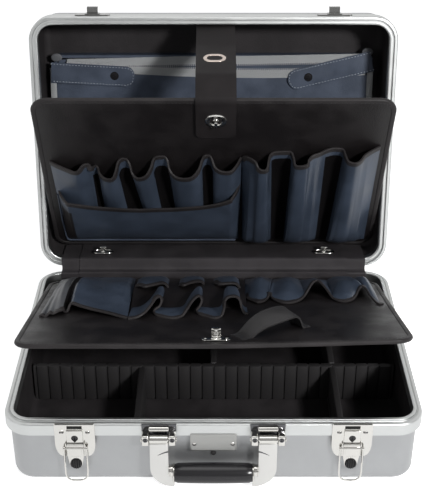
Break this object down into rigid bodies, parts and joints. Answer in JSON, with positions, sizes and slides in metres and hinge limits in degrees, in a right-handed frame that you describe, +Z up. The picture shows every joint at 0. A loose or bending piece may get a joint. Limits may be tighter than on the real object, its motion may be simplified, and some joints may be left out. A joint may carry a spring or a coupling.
{
  "type": "tool case",
  "caption": "Hard tool case with a hinged lid, swing-out tool boards with pockets, draw latches, turn-locks and a folding carrying handle.",
  "frame": {"origin": "middle of the base's underside, on the surface the case lies on", "axes": "+Z up, +X to the right along the case's width as its latches are faced, +Y to the back where the lid is hinged"},
  "size_m": [0.48, 0.4988, 0.445],
  "materials": {
    "shell": "silver, semi-gloss",
    "frame": "satin anodised",
    "lining": "black grained",
    "divider": "black, matt",
    "plated_steel": "bright nickel",
    "brushed": "brushed",
    "black_plastic": "black, gloss",
    "board_leather": "black grained imitation leather",
    "slate_leather": "dark slate blue imitation leather",
    "pouch_leather": "blue grey imitation leather",
    "tape": "pale woven tape",
    "rubber": "black"
  },
  "bodies": {
    "base": {"base_shell": "shell", "base_frame": "frame", "base_lining": "lining", "slotted_wall": "divider", "divider_front_left": "divider", "divider_front_right": "divider", "divider_rear_middle": "divider", "divider_rear_right": "divider", "base_hinge_leaves": "plated_steel", "hinge_pins": "plated_steel", "latch_plate_left": "plated_steel", "latch_plate_right": "plated_steel", "front_rivets": "plated_steel", "handle_bracket_left": "plated_steel", "handle_bracket_right": "plated_steel", "handle_pins": "plated_steel", "nameplate": "brushed", "grip_buffer": "rubber"},
    "lock_left": {"lock_cylinder_left": "black_plastic"},
    "lock_right": {"lock_cylinder_right": "black_plastic"},
    "lever_left": {"latch_lever_left": "plated_steel", "thumb_pad_left": "black_plastic"},
    "lever_right": {"latch_lever_right": "plated_steel", "thumb_pad_right": "black_plastic"},
    "bail_left": {"latch_bail_left": "plated_steel"},
    "bail_right": {"latch_bail_right": "plated_steel"},
    "handle": {"handle_arm_left": "brushed", "handle_arm_right": "brushed", "handle_grip": "black_plastic", "grip_ferrules": "plated_steel"},
    "lid": {"lid_shell": "shell", "lid_frame": "frame", "lid_lining": "lining", "lid_hinge_leaves": "plated_steel", "catch_left": "plated_steel", "catch_right": "plated_steel", "document_pouch": "pouch_leather", "pouch_zip": "tape", "pouch_straps": "pouch_leather", "strap_snaps": "black_plastic", "hinge_cover": "board_leather", "spine_flap": "board_leather", "flap_turnlock_plates": "plated_steel"},
    "flap_knob_left": {"flap_turnlock_left": "plated_steel"},
    "flap_knob_right": {"flap_turnlock_right": "plated_steel"},
    "tool_board_upper": {"upper_board": "board_leather", "upper_binding": "board_leather", "tool_loops": "slate_leather", "long_pocket": "slate_leather", "tall_pockets": "slate_leather", "upper_turnlock_plate": "plated_steel", "centre_strap": "board_leather"},
    "upper_knob": {"upper_turnlock_knob": "plated_steel"},
    "board_strip": {"lower_hinge_strip": "board_leather"},
    "tool_board_lower": {"lower_board": "board_leather", "lower_binding": "board_leather", "lower_pockets": "slate_leather", "lift_loop": "board_leather", "lower_turnlock_plate": "plated_steel"},
    "lower_knob": {"lower_turnlock_knob": "plated_steel"}
  },
  "joints": [
    {"name": "lid_hinge", "type": "hinge", "parent": "base", "child": "lid", "pos_m": [0, 0.1765, 0.09], "axis": [-1, 0, 0], "range_deg": [-98, 0], "deforming": ["hinge_cover", "spine_flap"]},
    {"name": "upper_board_fold", "type": "hinge", "parent": "lid", "child": "tool_board_upper", "pos_m": [0, 0.22385, 0.10354], "axis": [1, 0, 0], "range_deg": [-33.5, 0], "deforming": ["centre_strap"]},
    {"name": "lower_strip_fold", "type": "hinge", "parent": "base", "child": "board_strip", "pos_m": [0, 0.1578, 0.0805], "axis": [-1, 0, 0], "range_deg": [-17.2, 0]},
    {"name": "lower_board_lift", "type": "hinge", "parent": "board_strip", "child": "tool_board_lower", "pos_m": [0, 0.14729, 0.08375], "axis": [-1, 0, 0], "range_deg": [0, 35]},
    {"name": "handle_swing", "type": "hinge", "parent": "base", "child": "handle", "pos_m": [0, -0.183, 0.075], "axis": [-1, 0, 0], "range_deg": [0, 95]},
    {"name": "lock_turn_left", "type": "hinge", "parent": "base", "child": "lock_left", "pos_m": [-0.157, -0.175, 0.0715], "axis": [0, -1, 0], "range_deg": [0, 90]},
    {"name": "lever_lift_left", "type": "hinge", "parent": "base", "child": "lever_left", "pos_m": [-0.157, -0.1763, 0.062], "axis": [1, 0, 0], "range_deg": [-120, 0]},
    {"name": "bail_swing_left", "type": "hinge", "parent": "lever_left", "child": "bail_left", "pos_m": [-0.157, -0.1773, 0.0575], "axis": [-1, 0, 0], "range_deg": [0, 175]},
    {"name": "flap_knob_turn_left", "type": "hinge", "parent": "lid", "child": "flap_knob_left", "pos_m": [-0.155, 0.19478, 0.1051], "axis": [0, 0.1392, 0.9903], "range_deg": [0, 90]},
    {"name": "lock_turn_right", "type": "hinge", "parent": "base", "child": "lock_right", "pos_m": [0.157, -0.175, 0.0715], "axis": [0, -1, 0], "range_deg": [0, 90]},
    {"name": "lever_lift_right", "type": "hinge", "parent": "base", "child": "lever_right", "pos_m": [0.157, -0.1763, 0.062], "axis": [1, 0, 0], "range_deg": [-120, 0]},
    {"name": "bail_swing_right", "type": "hinge", "parent": "lever_right", "child": "bail_right", "pos_m": [0.157, -0.1773, 0.0575], "axis": [-1, 0, 0], "range_deg": [0, 175]},
    {"name": "flap_knob_turn_right", "type": "hinge", "parent": "lid", "child": "flap_knob_right", "pos_m": [0.155, 0.19478, 0.1051], "axis": [0, 0.1392, 0.9903], "range_deg": [0, 90]},
    {"name": "upper_knob_turn", "type": "hinge", "parent": "tool_board_upper", "child": "upper_knob", "pos_m": [0.003, 0.10837, 0.33985], "axis": [0, -0.9026, -0.4305], "range_deg": [0, 90]},
    {"name": "lower_knob_turn", "type": "hinge", "parent": "tool_board_lower", "child": "lower_knob", "pos_m": [0.003, -0.12518, 0.17071], "axis": [0, 0.2957, 0.9553], "range_deg": [0, 90]}
  ],
  "couplings": [
    {"joint": "upper_board_fold", "follows": "lid_hinge", "ratio": 0.34184},
    {"joint": "lower_strip_fold", "follows": "lid_hinge", "ratio": 0.17551}
  ]
}
